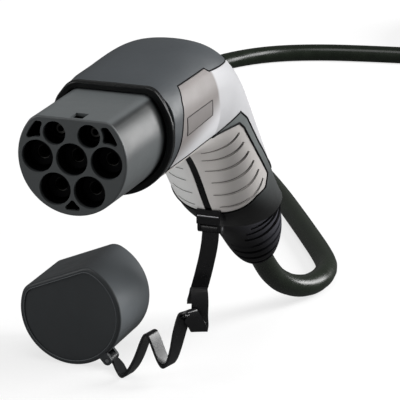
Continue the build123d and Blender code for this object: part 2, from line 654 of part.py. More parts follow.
# ---------------------------------------------------------------- cable
def route_points():
    lying = FLOOR_Z + CABLE_D / 2
    points = [Vector(*EXIT), Vector(*exit_point(-FIRST_RUN))]
    for x, y, z in ROUTE:
        points.append(Vector(x, y, lying if z is None else z))
    return points


def bend_radii(points):
    """The largest tangent arc that each corner's two runs leave room for."""
    radii = []
    for before, corner, after in zip(points, points[1:], points[2:]):
        turn = radians((corner - before).get_angle(after - corner))
        shorter = min((corner - before).length, (after - corner).length)
        radii.append(0.45 * shorter / tan(turn / 2))
    return radii


def make_cable_tube():
    points = route_points()
    radii = bend_radii(points)
    path = FilletPolyline(*points, radius=radii)
    tube = sweep(Plane(origin=path @ 0, z_dir=path % 0) * Circle(CABLE_D / 2), path=path)
    expected = pi * (CABLE_D / 2) ** 2 * path.length
    print("cable tube radii", [round(r) for r in radii])
    print("cable tube length", round(path.length, 1), "volume share", round(tube.volume / expected, 5))
    return tube, path.length


def coil_frame():
    """Centre of the coil, and its lowest level: the last run touches its outer turns."""
    last, before = route_points()[-1], route_points()[-2]
    along = (last - before).normalized()
    outer_turn = COIL_D / 2 + (COIL_COLUMNS - 1) * CABLE_D / 2
    centre = last + Vector(along.Y, -along.X, 0) * -outer_turn
    return centre.X, centre.Y, degrees(atan2(last.Y - centre.Y, last.X - centre.X))


def make_coil():
    x, y, start = coil_frame()
    band = Rectangle(COIL_COLUMNS * CABLE_D, COIL_LAYERS * CABLE_D)
    band = fillet(band.vertices(), CABLE_D / 2 - 0.2)
    ring = revolve(Plane.XZ * (Pos(COIL_D / 2, FLOOR_Z + COIL_LAYERS * CABLE_D / 2) * band), Axis.Z)
    return Pos(x, y, 0) * ring - make_tie(grow=True)


def make_tie(grow=False):
    """Hook-and-loop tie round the coil's section, or, grown, the groove that it lies in."""
    x, y, start = coil_frame()
    across_coil = COIL_COLUMNS * CABLE_D
    height = COIL_LAYERS * CABLE_D
    spare = 2.0 if grow else 0.0
    outer = fillet(Rectangle(across_coil + spare, height + spare).vertices(), CABLE_D / 2 - 0.2)
    wall = TIE_T + (FIT if grow else 0)
    inner = fillet(Rectangle(across_coil - 2 * wall, height - 2 * wall).vertices(), CABLE_D / 2 - 0.2 - wall)
    loop = extrude(Plane.XZ * (outer - inner), amount=TIE_W / 2 + (FIT if grow else 0), both=True)
    return Pos(x, y, FLOOR_Z + height / 2) * Rot(0, 0, TIE_ANGLE) * Pos(COIL_D / 2, 0, 0) * loop


def tail_frame():
    """Centre of the tail's bend, in the plane of the cable's middle."""
    x, y, start = coil_frame()
    offset = COIL_D / 2 - (COIL_COLUMNS - 1) * CABLE_D / 2 - TAIL_R
    angle = radians(TAIL_ANGLE)
    return Vector(x + offset * cos(angle), y + offset * sin(angle), FLOOR_Z + CABLE_D / 2)


def tail_point(turn):
    angle = radians(TAIL_ANGLE + turn)
    return tail_frame() + Vector(TAIL_R * cos(angle), TAIL_R * sin(angle), 0)


def make_tail():
    """Last stretch of the cable: it leaves the inner turn and ends inside the coil."""
    arc = ThreePointArc(tail_point(TAIL_FROM), tail_point((TAIL_FROM + TAIL_TO) / 2), tail_point(TAIL_TO))
    return sweep(Plane(origin=arc @ 0, z_dir=arc % 0) * Circle(CABLE_D / 2), path=arc)


def make_cores():
    """Stripped conductors at the cable's far end, and the ferrules crimped on them."""
    angle = radians(TAIL_ANGLE + TAIL_TO)
    along = Vector(-sin(angle), cos(angle), 0)
    aside = Vector(cos(angle), sin(angle), 0)
    cores = Part()
    ferrules = Part()
    for name, (place, ring) in BUNDLE.items():
        offset = aside * (ring * cos(radians(place))) + Vector(0, 0, ring * sin(radians(place)))
        direction = along + aside * (SPLAY * cos(radians(place)) * ring / BUNDLE_R)
        direction = direction.normalized()
        wire_r = POWER_WIRE_R if name in POWER_PLACES else SIGNAL_WIRE_R
        start = tail_point(TAIL_TO) + offset + along * FIT
        tip = start + direction * CORE_LENGTH
        cores += rod(tuple(start), tuple(direction), wire_r, CORE_LENGTH)
        collar = FERRULE_LENGTH / 2
        barrel_r = wire_r - FERRULE_STEP
        ferrules += turned([(0, 0), (0, wire_r), (collar, wire_r), (collar, barrel_r), (FERRULE_LENGTH, barrel_r),
                            (FERRULE_LENGTH, 0)], tuple(tip), tuple(direction))
    return cores, ferrules


# ---------------------------------------------------------------- build
def build():
    outer = body(0)
    cavity = body(CAVITY_INSET)
    nodes = {
        "nose_insert": make_nose(cavity),
        "contact_retainer": make_retainer(cavity),
        "bezel": make_bezel(cavity),
        "nose_seal": make_nose_seal(cavity),
    }
    for name, place in POWER_PLACES.items():
        nodes[name] = make_contact(place, POWER_SOCKET_R, POWER_BORE_R, POWER_BORE_DEPTH)
    for name, place in SIGNAL_PLACES.items():
        nodes[name] = make_contact(place, SIGNAL_SOCKET_R, SIGNAL_BORE_R, SIGNAL_BORE_DEPTH)
    for name, (angle, ring) in BUNDLE.items():
        place = POWER_PLACES.get(name) or SIGNAL_PLACES[name]
        wire_r = POWER_WIRE_R if name in POWER_PLACES else SIGNAL_WIRE_R
        nodes[name.replace("contact", "wire")] = make_wire(place, angle, ring, wire_r)
    nodes["coding_resistor"] = make_resistor()
    nodes.update(make_shells())
    nodes["housing_screws"] = make_housing_screws()
    nodes["bend_relief"] = make_bend_relief()
    nodes["relief_seal"] = make_relief_seal()
    nodes["cable_clamp_front"], nodes["cable_clamp_back"], nodes["clamp_screws"] = make_clamps()
    nodes["cable_sheath_end"] = rod(EXIT, tuple(-v for v in EXIT_DIRECTION), CABLE_D / 2, SHEATH_LENGTH)
    nodes["tether_clip"] = make_clip(outer)
    nodes["clip_pin"] = make_clip_pin()
    nodes["tether_strap"] = make_strap()
    nodes["cap"] = make_cap()
    nodes["cap_pin"] = make_cap_pin()
    nodes["cable_tube"], tube_length = make_cable_tube()
    nodes["cable_coil"] = make_coil()
    nodes["coil_tie"] = make_tie()
    nodes["cable_tail"] = make_tail()
    nodes["cable_cores"], nodes["core_ferrules"] = make_cores()
    turns = (CABLE_LENGTH - tube_length) / (pi * COIL_D)
    print("coil turns", round(turns, 2))
    for name, shape in nodes.items():
        export_step(shape, f"parts/{name}.step")


build()
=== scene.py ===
import math

import bmesh
import bpy
from bpy.props import FloatProperty, FloatVectorProperty, IntProperty, PointerProperty
from mathutils import Matrix, Vector
from mathutils.bvhtree import BVHTree


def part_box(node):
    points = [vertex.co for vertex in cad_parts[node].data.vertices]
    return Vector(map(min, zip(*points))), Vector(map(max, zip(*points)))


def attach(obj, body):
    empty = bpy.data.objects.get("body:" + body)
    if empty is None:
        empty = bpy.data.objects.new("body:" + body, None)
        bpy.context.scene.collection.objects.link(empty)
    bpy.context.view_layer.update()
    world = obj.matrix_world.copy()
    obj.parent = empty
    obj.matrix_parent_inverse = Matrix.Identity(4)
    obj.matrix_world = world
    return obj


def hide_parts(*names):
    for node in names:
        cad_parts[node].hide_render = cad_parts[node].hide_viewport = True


bl_info = {
    "name": "Vehicle charging connector",
    "version": (1, 0, 0),
    "blender": (4, 5, 0),
    "location": "View3D > Sidebar > Connector",
    "description": "Finishes a charging connector with its tethered cap and its cable",
    "category": "Object",
}

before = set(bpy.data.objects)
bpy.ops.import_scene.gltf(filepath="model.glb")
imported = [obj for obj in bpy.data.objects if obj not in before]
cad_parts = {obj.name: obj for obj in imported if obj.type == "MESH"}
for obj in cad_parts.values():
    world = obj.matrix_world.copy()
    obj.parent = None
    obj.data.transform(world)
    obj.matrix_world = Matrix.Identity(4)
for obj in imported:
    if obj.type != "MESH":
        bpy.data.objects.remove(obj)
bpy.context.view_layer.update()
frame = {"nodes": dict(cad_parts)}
NODES = frame["nodes"]
FLOOR_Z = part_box("cable_coil")[0][2]
MM = 0.001

# The exit, and the route of the free cable after it, in metres
EXIT = Vector((0.0, 0.2625, -0.1297))
EXIT_SLOPE = math.radians(46.4)
FIRST_RUN = 0.024
ROUTE = [
    (0.0045, 0.2970, -0.1605), (0.0110, 0.3155, -0.1673), (0.0145, 0.3345, None), (0.0120, 0.3560, None),
    (0.0010, 0.3775, None), (-0.0145, 0.4040, None), (-0.0360, 0.4400, None), (-0.0640, 0.4860, None),
    (-0.0990, 0.5380, None), (-0.1370, 0.5920, None), (-0.1750, 0.6450, None), (-0.2080, 0.6950, None),
    (-0.2210, 0.7400, None), (-0.2120, 0.7830, None), (-0.1870, 0.8190, None), (-0.1500, 0.8395, None),
    (-0.1030, 0.8500, None), (-0.0500, 0.8580, None), (-0.0060, 0.8610, None),
]
COIL_D = 0.143
COIL_STEPS = 24             # points in each turn
FALL = (45.0, 95.0)         # degrees round each turn where the inner turns step down a layer
INWARD = (97.0, 147.0)      # where the top outer turn moves in
RISE = (150.0, 200.0)       # where the outer turns step up a layer
TAIL_R = 0.052
TAIL_ANGLE = 120.0
TAIL_TO = 168.0
TAIL_STEP = 14.0

# The nose's outside, and the part of it that holds the wells, in millimetres
NOSE_R = 26.85
NOSE_FLAT = 19.3            # height of the flat over its axis
NOSE_WALL = 1.5             # between the outside and the wells
WELL_SHADE = (0.5, 3.0)     # depths between which the wells are painted black as shade

# Contacts and their insulating tips, in metres
POWER_WIDTH = 0.007         # power contacts are wider than this, signal contacts narrower
POWER_BORE = 0.0030         # radius
SIGNAL_BORE = 0.0015        # radius
TIP_BORE_GAP = 0.00025      # between the contact's bore and the tip's
TIP_PROUD = 0.0010          # how far the tip stands in front of the contact
TIP_SHOULDER = 0.0004       # how far in front its outside bevel ends
TIP_BEVEL = 0.0002          # at the mouth of its bore
TIP_WALL = 0.0005
TIP_GAP = 0.0001            # between the contact and the sleeve
TIP_REACH = 0.0050          # how far the sleeve reaches back over the contact

CLEAR = 0.06                # how far out a line starts that looks for the surface, in metres

# Seams, each with its bead's radius in metres, and each node with the neighbours that it meets
SEAMS = (
    ("pad_seams", 0.00065, (("grip_left", "frame_left"), ("grip_right", "frame_right"))),
    ("frame_seams", 0.00050, (("frame_left", "housing_left"), ("frame_right", "housing_right"))),
    ("panel_seams", 0.00036, (("housing_left", "grip_left"), ("housing_right", "grip_right"))),
    ("hood_seams", 0.00036, (("hood", "housing_left", "housing_right"),)),
)

# Painted shade in the grip grooves, as (y, z) of the back end and the front end, in millimetres
GROOVES = 6
GROOVE_FIRST = ((150.5, -26.0), (141.0, -36.5))
GROOVE_LAST = ((191.5, -62.3), (178.0, -77.0))
GROOVE_BOW = (2.4, -2.4)    # how far the middle of its guide lies off the straight line
GROOVE_STEPS = 24
GROOVE_END = 0.04           # share of the length that stays bare at each end
GROOVE_BEAD_R = 0.0013      # metres, as the next two are
GROOVE_LIFT = 0.0003
GROOVE_MIDDLE = 0.003       # nothing is laid nearer to the middle plane

# Dark beads of painted shade for the slots round the relief's right side: distance back from the exit
# in millimetres, and the angles that they run between
RELIEF_SLOTS = ((39.5, -22.0, 76.0), (48.0, -18.0, 68.0), (55.0, 8.0, 58.0))
RELIEF_LIFT = 4.8           # of the slots' centre over the cable's line, in millimetres
RELIEF_STEPS = 30
RELIEF_BEAD_R = 0.0011      # metres

# The bare plate on the right side panel, as (y, z) of its corners, in millimetres
PLATE = ((66.0, -3.8), (100.2, -2.8), (99.8, 4.9), (65.6, 5.0))
PLATE_STEPS = (24, 8)
PLATE_PROUD = 0.00012       # metres, as the next two are
PLATE_SUNK = 0.0003
PLATE_EDGE_R = 0.00024

# The painted highlight round the cap's rim and the bar on the strap's clip, in metres
RIM_DEPTH = 0.0002          # edges this near to the cap's front belong to its rim
RIM_R = 0.00022
BAR_R = 0.0006
BAR_DROP = 0.0035           # below the clip's top
BAR_SUNK = 0.0001
BAR_STEPS = 8               # on each side of its middle

# The stage
FLOOR_HALF = 6.0
FLOOR_DROP = 0.0002         # keeps the floor clear of what lies on it
FLOOR_NEAR = (0.45, 1.66)   # distance from the origin, and the strength of the floor's light there
FLOOR_FAR = (1.40, 2.10)
FLOOR_GLOW = 0.06           # its strength for all rays, to which the camera's is added
FLOOR_MIRRORED = 0.9        # share of light of its own in reflections
FLOOR_SEEN = 0.42           # the same for the camera
ROOM_LEVEL = 0.13           # strength of the room's light on the object
WHITE = (1.0, 1.0, 1.0, 1.0)


# ---------------------------------------------------------------- settings
class ConnectorColours(bpy.types.PropertyGroup):
    nose: FloatVectorProperty(
        name="Nose", description="Hard plastic of the nose and its bezel", subtype="COLOR",
        default=(0.072, 0.078, 0.080), min=0.0, max=1.0)
    hood: FloatVectorProperty(
        name="Hood", description="Slate grey plastic over the head", subtype="COLOR",
        default=(0.056, 0.063, 0.069), min=0.0, max=1.0)
    panel: FloatVectorProperty(
        name="Side panels", description="Warm light grey plastic of the side panels", subtype="COLOR",
        default=(0.222, 0.202, 0.195), min=0.0, max=1.0)
    # Partly painted light: the back of the side panels is a lighter plastic, painted near white for the light
    # that falls there; the lower part of the panels is painted from this colour too
    spine_and_painted_light: FloatVectorProperty(
        name="Spine", description="Nearly white plastic at the back of the side panels", subtype="COLOR",
        default=(0.490, 0.490, 0.505), min=0.0, max=1.0)
    # Also painted shade: the nose's wells and the slots round the bend relief are painted in this black
    seam: FloatVectorProperty(
        name="Seams", description="Black of the seams, slots, wells and contact tips", subtype="COLOR",
        default=(0.003, 0.003, 0.0035), min=0.0, max=1.0)
    frame: FloatVectorProperty(
        name="Frame", description="Mid grey plastic round the grip pads", subtype="COLOR",
        default=(0.125, 0.138, 0.138), min=0.0, max=1.0)
    grip: FloatVectorProperty(
        name="Grip pads", description="Soft warm grey of the grip pads", subtype="COLOR",
        default=(0.680, 0.648, 0.625), min=0.0, max=1.0)
    relief: FloatVectorProperty(
        name="Bend relief", description="Black elastomer of the bend relief", subtype="COLOR",
        default=(0.005, 0.005, 0.006), min=0.0, max=1.0)
    sheath: FloatVectorProperty(
        name="Cable sheath", description="Black of the cable's sheath, slightly green", subtype="COLOR",
        default=(0.008, 0.012, 0.007), min=0.0, max=1.0)
    cap: FloatVectorProperty(
        name="Cap", description="Dark slate rubber of the dust cap", subtype="COLOR",
        default=(0.040, 0.044, 0.047), min=0.0, max=1.0)
    strap: FloatVectorProperty(
        name="Strap", description="Black of the moulded strap", subtype="COLOR",
        default=(0.009, 0.009, 0.010), min=0.0, max=1.0)
    floor: FloatVectorProperty(
        name="Floor", description="Pale floor under the connector", subtype="COLOR",
        default=(0.50, 0.50, 0.50), min=0.0, max=1.0)


class ConnectorSizes(bpy.types.PropertyGroup):
    cable_diameter: FloatProperty(
        name="Cable diameter", description="Outside of the cable's sheath", subtype="DISTANCE", unit="LENGTH",
        default=0.013, min=0.005, max=0.03)
    cable_length: FloatProperty(
        name="Cable length", description="Length that the cable is declared to have, up to its bare end",
        subtype="DISTANCE", unit="LENGTH", default=3.0, min=0.5, max=10.0)
    cable_sides: IntProperty(
        name="Cable roundness", description="Detail of the cable's round outline",
        default=6, min=2, max=16)


class StageSettings(bpy.types.PropertyGroup):
    azimuth: FloatProperty(
        name="Azimuth", description="Turn of the camera about the connector",
        subtype="ANGLE", unit="ROTATION", default=math.radians(20.353))
    elevation: FloatProperty(
        name="Elevation", description="Height angle of the camera", subtype="ANGLE", unit="ROTATION",
        default=math.radians(18.010))
    lens: FloatProperty(
        name="Lens", description="Focal length of the camera in millimetres",
        default=225.0, min=20.0, max=400.0)
    place: FloatVectorProperty(
        name="Camera place", description="Where the camera stands", subtype="XYZ", unit="LENGTH",
        default=(0.4314, -0.9956, 0.3331))


# ---------------------------------------------------------------- materials
def wired(tree, kind, *values, operation=None):
    """A node whose first inputs are set, each to a value or from another node's output."""
    made = tree.nodes.new(kind)
    if operation:
        made.operation = operation
    for socket, value in zip(made.inputs, values):
        if isinstance(value, bpy.types.NodeSocket):
            tree.links.new(value, socket)
        else:
            socket.default_value = value
    return made


class Finish:
    """A material whose nodes are wired one by one."""

    def __init__(self, name):
        self.material = bpy.data.materials.new(name)
        self.material.use_nodes = True
        self.tree = self.material.node_tree
        self.shader = self.tree.nodes["Principled BSDF"]
        self.place = self.tree.nodes.new("ShaderNodeTexCoord").outputs["Object"]

    @classmethod
    def of(cls, material):
        """The same, for a material that is already made."""
        finish = cls.__new__(cls)
        finish.material, finish.tree = material, material.node_tree
        finish.shader = finish.tree.nodes["Principled BSDF"]
        finish.place = next(n for n in finish.tree.nodes if n.type == "TEX_COORD").outputs["Object"]
        return finish

    def node(self, kind, **inputs):
        """A node whose inputs are set by name, each to a value or from another node's output."""
        made = self.tree.nodes.new(kind)
        for name, value in inputs.items():
            socket = made.inputs[name.replace("_", " ")]
            if isinstance(value, bpy.types.NodeSocket):
                self.tree.links.new(value, socket)
            else:
                socket.default_value = value
        return made

    def join(self, output, socket):
        self.tree.links.new(output, socket)

    def noise(self, scale, detail=2.0, roughness=0.5):
        made = self.node(
            "ShaderNodeTexNoise", Vector=self.place, Scale=scale, Detail=detail, Roughness=roughness)
        return made.outputs["Fac"]

    def between(self, value, low, high, from_low=0.3, from_high=0.7):
        """Spreads a value that lies from from_low to from_high over the range from low to high."""
        made = self.node("ShaderNodeMapRange", Value=value, From_Min=from_low, From_Max=from_high,
                         To_Min=low, To_Max=high)
        return made.outputs["Result"]

    def mix(self, share, first, second):
        """A colour that goes from the first to the second as the share goes from 0 to 1."""
        made = self.tree.nodes.new("ShaderNodeMix")
        made.data_type = "RGBA"
        colours = [socket for socket in made.inputs if socket.type == "RGBA"]
        self.join(share, made.inputs["Factor"])
        for socket, colour in zip(colours, (first, second)):
            if isinstance(colour, bpy.types.NodeSocket):
                self.join(colour, socket)
            else:
                socket.default_value = (*colour, 1.0)
        return next(socket for socket in made.outputs if socket.type == "RGBA")

    def bumped(self, height, strength, distance, before=None):
        """A bumped normal, over the one before it if there is one."""
        made = self.node("ShaderNodeBump", Height=height, Strength=strength, Distance=distance)
        if before:
            self.join(before, made.inputs["Normal"])
        return made.outputs["Normal"]


def shade(colour, factor):
    """The colour, darker or lighter by a factor."""
    return tuple(min(1.0, channel * factor) for channel in colour)


def moulded(name, colour, roughness, grain=1400.0, grain_depth=0.00004, mottle=0.06, specular=0.5):
    """Moulded plastic or rubber: spark-eroded grain, slow mottling and a finish that varies a little."""
    spread = 0.06
    finish = Finish(name)
    slow = finish.noise(22.0, 3.0)
    fine = finish.noise(grain, 2.0, 0.6)
    patches = finish.noise(70.0, 4.0, 0.6)
    share = finish.between(slow, 0.0, 1.0)
    base = finish.mix(share, shade(colour, 1.0 - mottle), shade(colour, 1.0 + mottle))
    speck = finish.mix(finish.between(fine, 0.0, 0.12, 0.55, 0.8), base, shade(colour, 1.6))
    finish.join(speck, finish.shader.inputs["Base Color"])
    rough = finish.between(patches, roughness - spread, roughness + spread)
    finish.join(rough, finish.shader.inputs["Roughness"])
    normal = finish.bumped(fine, 0.5, grain_depth)
    normal = finish.bumped(patches, 0.25, grain_depth * 1.5, normal)
    finish.join(normal, finish.shader.inputs["Normal"])
    finish.shader.inputs["Specular IOR Level"].default_value = specular
    return finish.material


def plated(name, colour, roughness, brushing=900.0):
    """Plated metal with fine turning marks."""
    finish = Finish(name)
    marks = finish.node("ShaderNodeTexWave", Vector=finish.place, Scale=brushing, Distortion=1.5, Detail=2.0)
    marks.bands_direction = "Y"
    tarnish = finish.noise(160.0, 4.0, 0.6)
    base = finish.mix(finish.between(tarnish, 0.0, 1.0), shade(colour, 0.82), colour)
    finish.join(base, finish.shader.inputs["Base Color"])
    rough = finish.between(tarnish, roughness - 0.06, roughness + 0.08)
    finish.join(rough, finish.shader.inputs["Roughness"])
    finish.join(finish.bumped(marks.outputs["Fac"], 0.2, 0.00002), finish.shader.inputs["Normal"])
    finish.shader.inputs["Metallic"].default_value = 1.0
    return finish.material


def sheath_finish(name, colour):
    """Cable sheath: satin, with faint lengthwise drawing marks and a little dust."""
    finish = Finish(name)
    fine = finish.noise(1600.0, 2.0)
    long_marks = finish.noise(90.0, 5.0, 0.65)
    base = finish.mix(finish.between(long_marks, 0.0, 1.0), shade(colour, 0.85), shade(colour, 1.25))
    finish.join(base, finish.shader.inputs["Base Color"])
    finish.join(finish.between(long_marks, 0.22, 0.32), finish.shader.inputs["Roughness"])
    normal = finish.bumped(fine, 0.06, 0.000005)
    normal = finish.bumped(long_marks, 0.10, 0.00002, normal)
    finish.join(normal, finish.shader.inputs["Normal"])
    return finish.material


def striped_insulation(name, first, second):
    """Insulation with a lengthwise stripe, as on an earth conductor."""
    finish = Finish(name)
    bands = finish.node("ShaderNodeTexWave", Vector=finish.place, Scale=260.0, Distortion=0.0)
    bands.bands_direction = "X"
    share = finish.between(bands.outputs["Fac"], 0.0, 1.0, 0.45, 0.55)
    finish.join(finish.mix(share, first, second), finish.shader.inputs["Base Color"])
    fine = finish.noise(900.0)
    finish.join(finish.bumped(fine, 0.3, 0.00003), finish.shader.inputs["Normal"])
    finish.shader.inputs["Roughness"].default_value = 0.4
    return finish.material


def woven_tape(name, colour):
    """Hook-and-loop tape: a looped pile with a bound edge."""
    finish = Finish(name)
    loops = finish.node("ShaderNodeTexVoronoi", Vector=finish.place, Scale=900.0)
    height = loops.outputs["Distance"]
    base = finish.mix(finish.between(height, 0.0, 1.0, 0.1, 0.7), shade(colour, 1.8), colour)
    finish.join(base, finish.shader.inputs["Base Color"])
    finish.join(finish.bumped(height, 0.8, 0.0003), finish.shader.inputs["Normal"])
    finish.shader.inputs["Roughness"].default_value = 0.9
    finish.shader.inputs["Sheen Weight"].default_value = 0.4
    return finish.material


def paint(material, *nodes):
    """Gives CAD nodes one material."""
    for name in nodes:
        mesh = NODES[name].data
        mesh.materials.clear()
        mesh.materials.append(material)


def put(mesh, name, material, body):
    """Makes an object of a mesh whose place is in its vertices, and lets it ride on a body."""
    made = bpy.data.objects.new(name, mesh)
    bpy.context.scene.collection.objects.link(made)
    mesh.materials.append(material)
    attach(made, body)
    return made


def ramp(finish, direction, start, end):
    """A share that goes from 0 to 1 between two places along a direction, in millimetres."""
    per_millimetre = Vector(direction).normalized() / MM
    along = wired(finish.tree, "ShaderNodeVectorMath", finish.place, per_millimetre, operation="DOT_PRODUCT")
    made = finish.node("ShaderNodeMapRange", Value=along.outputs["Value"], From_Min=start, From_Max=end)
    made.interpolation_type = "SMOOTHSTEP"
    return made.outputs["Result"]


def well_shade_mask(finish):
    """A share that is 1 in the nose's wells, which are painted black as shade, and 0 on its outside."""
    tree = finish.tree
    across = wired(tree, "ShaderNodeVectorMath", finish.place, (1.0, 0.0, 1.0), operation="MULTIPLY")
    radius = wired(tree, "ShaderNodeVectorMath", across.outputs["Vector"], operation="LENGTH")
    inside = (NOSE_R - NOSE_WALL) * MM
    within = wired(tree, "ShaderNodeMath", radius.outputs["Value"], inside, operation="LESS_THAN")
    roof = NOSE_FLAT - NOSE_WALL
    below = ramp(finish, (0, 0, -1), -(roof + 0.1), -(roof - 0.1))
    deep = ramp(finish, (0, 1, 0), *WELL_SHADE)
    both = wired(tree, "ShaderNodeMath", within.outputs[0], below, operation="MULTIPLY")
    return wired(tree, "ShaderNodeMath", both.outputs[0], deep, operation="MULTIPLY").outputs[0]


def graded(material, *steps):
    """Blends colours over a moulded finish, mostly as painted light and shade: each step is a direction, a
    start, an end and a colour.
    """
    finish = Finish.of(material)
    socket = finish.shader.inputs["Base Color"]
    for direction, start, end, colour in steps:
        under = socket.links[0].from_socket
        share = ramp(finish, direction, start, end)
        finish.join(finish.mix(share, under, colour), socket)
    return material


# ---------------------------------------------------------------- shapes
class Skin:
    """The outside of some CAD nodes, for laying pieces on it."""

    def __init__(self, *names):
        corners, faces = [], []
        for name in names:
            mesh = NODES[name].data
            first = len(corners)
            corners += [vertex.co.copy() for vertex in mesh.vertices]
            faces += [[first + corner for corner in face.vertices] for face in mesh.polygons]
        self.tree = BVHTree.FromPolygons(corners, faces)

    def under(self, start, direction):
        """Where a line from a start meets the skin, and the normal there; None twice where it misses."""
        place, normal, _, _ = self.tree.ray_cast(Vector(start), Vector(direction))
        return place, normal

    def near(self, place, reach):
        """Whether the skin lies within a reach of a place."""
        return self.tree.find_nearest(place, reach)[0] is not None

    def in_the_open(self, place, direction):
        """Whether nothing of the skin stands in front of a place."""
        return self.tree.ray_cast(place, direction, 0.2)[0] is None


def as_mesh(work, name):
    """Writes a bmesh to a new mesh and frees it."""
    mesh = bpy.data.meshes.new(name)
    work.to_mesh(mesh)
    work.free()
    return mesh


def chained(pairs):
    """Joins edges, given as pairs of points, into lines that are as long as they can be."""
    points, beside = {}, {}
    for first, last in pairs:
        keys = [tuple(round(value, 6) for value in end) for end in (first, last)]
        for key, point in zip(keys, (first, last)):
            points[key] = point
        beside.setdefault(keys[0], set()).add(keys[1])
        beside.setdefault(keys[1], set()).add(keys[0])
    lines = []
    starts = sorted(beside, key=lambda key: (len(beside[key]) == 2, key))
    for start in starts:
        while beside[start]:
            line = [start]
            while beside[line[-1]]:
                after = min(beside[line[-1]])
                beside[line[-1]].discard(after)
                beside[after].discard(line[-1])
                line.append(after)
            lines.append([points[key] for key in line])
    return lines


def sharp_edges(name, keep, sharp=30.0):
    """Lines along a CAD node's sharp edges, where keep accepts an edge's middle and the faces beside it."""
    work = bmesh.new()
    work.from_mesh(NODES[name].data)
    bmesh.ops.remove_doubles(work, verts=work.verts, dist=0.000002)
    work.normal_update()
    found = []
    for edge in work.edges:
        if len(edge.link_faces) != 2 or edge.calc_face_angle_signed(0.0) < math.radians(sharp):
            continue
        first, last = (vertex.co for vertex in edge.verts)
        if keep((first + last) / 2, edge.link_faces):
            found.append((first.copy(), last.copy()))
    work.free()
    return chained(found)


def rims(name, neighbours, outside, reach=0.0008):
    """Lines along a CAD node's open edges that lie next to its neighbours."""
    beside = Skin(*neighbours)

    def keep(middle, faces):
        if not beside.near(middle, reach):
            return False
        return any(outside.in_the_open(middle + face.normal * 0.0006, face.normal) for face in faces)

    return sharp_edges(name, keep)


def tubes(name, lines, radius, material, body, taper=None):
    """Round beads along lines; the taper gives the share of the radius from a bead's start to its end."""
    curve = bpy.data.curves.new(name, "CURVE")
    curve.dimensions = "3D"
    curve.bevel_depth = radius
    curve.bevel_resolution = 2
    curve.use_fill_caps = True
    for line in lines:
        if len(line) < 2:
            continue
        spline = curve.splines.new("POLY")
        spline.points.add(len(line) - 1)
        for place, (target, point) in enumerate(zip(spline.points, line)):
            target.co = (*point, 1.0)
            if taper:
                target.radius = taper(place / (len(line) - 1))
    holder = bpy.data.objects.new(name, curve)
    mesh = bpy.data.meshes.new_from_object(holder)
    bpy.data.objects.remove(holder)
    bpy.data.curves.remove(curve)
    mesh.materials.clear()
    for face in mesh.polygons:
        face.use_smooth = True
    return put(mesh, name, material, body)


def spun(profile, centre, steps=48):
    """A ring from a closed profile of (radius, y) corners, about an axis along Y."""
    work = bmesh.new()
    corners = [work.verts.new((centre.x + radius, y, centre.z)) for radius, y in profile]
    edges = [work.edges.new((first, last)) for first, last in zip(corners, corners[1:] + corners[:1])]
    bmesh.ops.spin(work, geom=corners + edges, cent=centre, axis=(0.0, 1.0, 0.0), angle=2 * math.pi,
                   steps=steps, use_merge=True, use_duplicate=False)
    bmesh.ops.remove_doubles(work, verts=work.verts, dist=0.000001)
    bmesh.ops.recalc_face_normals(work, faces=work.faces)
    return work


# ---------------------------------------------------------------- pieces
class CONNECTOR_OT_nose(bpy.types.Operator):
    """Finishes the nose with painted light and shade and black-painted wells, the bezel, the seals, the
    retainer and the cable clamp
    """
    bl_idname = "connector.nose"
    bl_label = "Nose"

    def execute(self, context):
        colours = context.scene.connector_colours
        nose = moulded("nose_plastic", colours.nose, 0.34, mottle=0.05, specular=0.4)
        # Painted light and shade: a dark band on the upper right rounding, a light band lower on the right,
        # shade towards the bezel, a lit top flat; the front face keeps its own colour
        graded(
            nose,
            ((1, 0, 1), 21.0, 24.5, shade(colours.nose, 0.40)),
            ((1, 0, -1), 15.0, 21.0, shade(colours.nose, 1.5)),
            ((0, 1, 0), 36.0, 47.0, shade(colours.nose, 0.12)),
            ((0, 0, 1), 17.6, 19.0, shade(colours.nose, 1.6)),
            ((0, -1, 0), -1.6, -0.8, colours.nose[:]),
        )
        finish = Finish.of(nose)
        # Painted shade: the wells are painted black, without shine, for the shade that falls in them
        well = well_shade_mask(finish)
        base = finish.shader.inputs["Base Color"]
        finish.join(finish.mix(well, base.links[0].from_socket, colours.seam[:]), base)
        finish.join(finish.between(well, 0.4, 0.0, 0.0, 1.0), finish.shader.inputs["Specular IOR Level"])
        paint(nose, "nose_insert")
        bezel = moulded("bezel_plastic", shade(colours.nose, 0.10), 0.22, mottle=0.03, specular=0.2)
        paint(bezel, "bezel")
        paint(moulded("seal_rubber", shade(colours.relief, 1.4), 0.6), "nose_seal", "relief_seal")
        carrier = moulded("carrier_plastic", (0.22, 0.22, 0.22), 0.5)
        paint(carrier, "contact_retainer", "cable_clamp_front", "cable_clamp_back")
        return {"FINISHED"}


